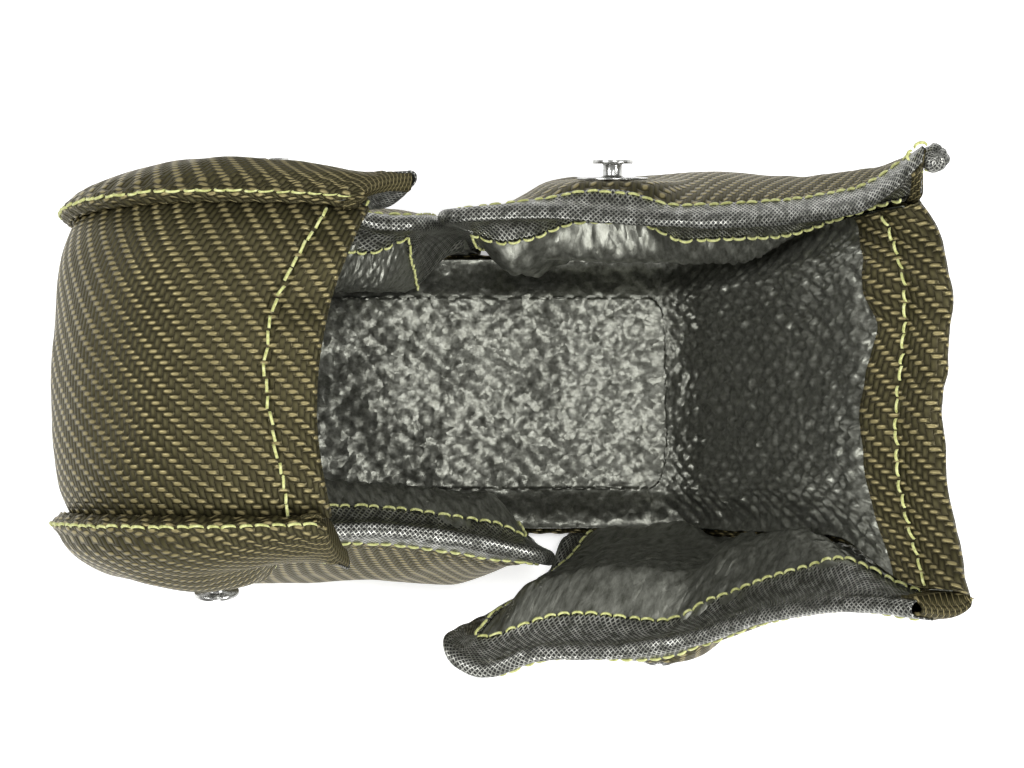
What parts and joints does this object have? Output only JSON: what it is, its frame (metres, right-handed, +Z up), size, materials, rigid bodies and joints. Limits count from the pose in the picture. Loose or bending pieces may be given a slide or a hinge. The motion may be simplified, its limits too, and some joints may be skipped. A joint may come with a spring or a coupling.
{
  "type": "turbocharger heat blanket",
  "caption": "Opened heat blanket for a turbocharger housing, of olive mineral-fibre cloth lined with crinkled foil, with mesh-bound side panels and spool studs.",
  "frame": {"origin": "on the floor under the band, midway between the two sides", "axes": "+X towards the open right arm, +Y across the band towards the rear side, +Z up out of the mouth"},
  "size_m": [0.2493, 0.1568, 0.1293],
  "materials": {
    "mineral_cloth": "2/2 twill, olive brown",
    "insulation_mat": "felted needle mat",
    "embossed_foil": "crinkled and embossed",
    "wire_mesh": "knitted wire",
    "stud_steel": "bright stainless"
  },
  "bodies": {
    "root": {"band_cloth": "mineral_cloth", "band_insulation": "insulation_mat", "band_foil": "embossed_foil", "rear_left_cloth": "mineral_cloth", "rear_left_insulation": "insulation_mat", "rear_left_foil": "embossed_foil", "rear_left_edge_mesh": "wire_mesh", "rear_left_stud": "stud_steel", "rear_left_washer": "stud_steel", "rear_left_backing_plate": "stud_steel", "front_left_cloth": "mineral_cloth", "front_left_insulation": "insulation_mat", "front_left_foil": "embossed_foil", "front_left_edge_mesh": "wire_mesh", "front_left_stud": "stud_steel", "front_left_washer": "stud_steel", "front_left_backing_plate": "stud_steel", "rear_right_cloth": "mineral_cloth", "rear_right_insulation": "insulation_mat", "rear_right_foil": "embossed_foil", "rear_right_edge_mesh": "wire_mesh", "rear_right_stud": "stud_steel", "rear_right_washer": "stud_steel", "rear_right_backing_plate": "stud_steel", "front_right_cloth": "mineral_cloth", "front_right_insulation": "insulation_mat", "front_right_foil": "embossed_foil", "front_right_edge_mesh": "wire_mesh", "front_right_stud": "stud_steel", "front_right_washer": "stud_steel", "front_right_backing_plate": "stud_steel"}
  },
  "joints": []
}
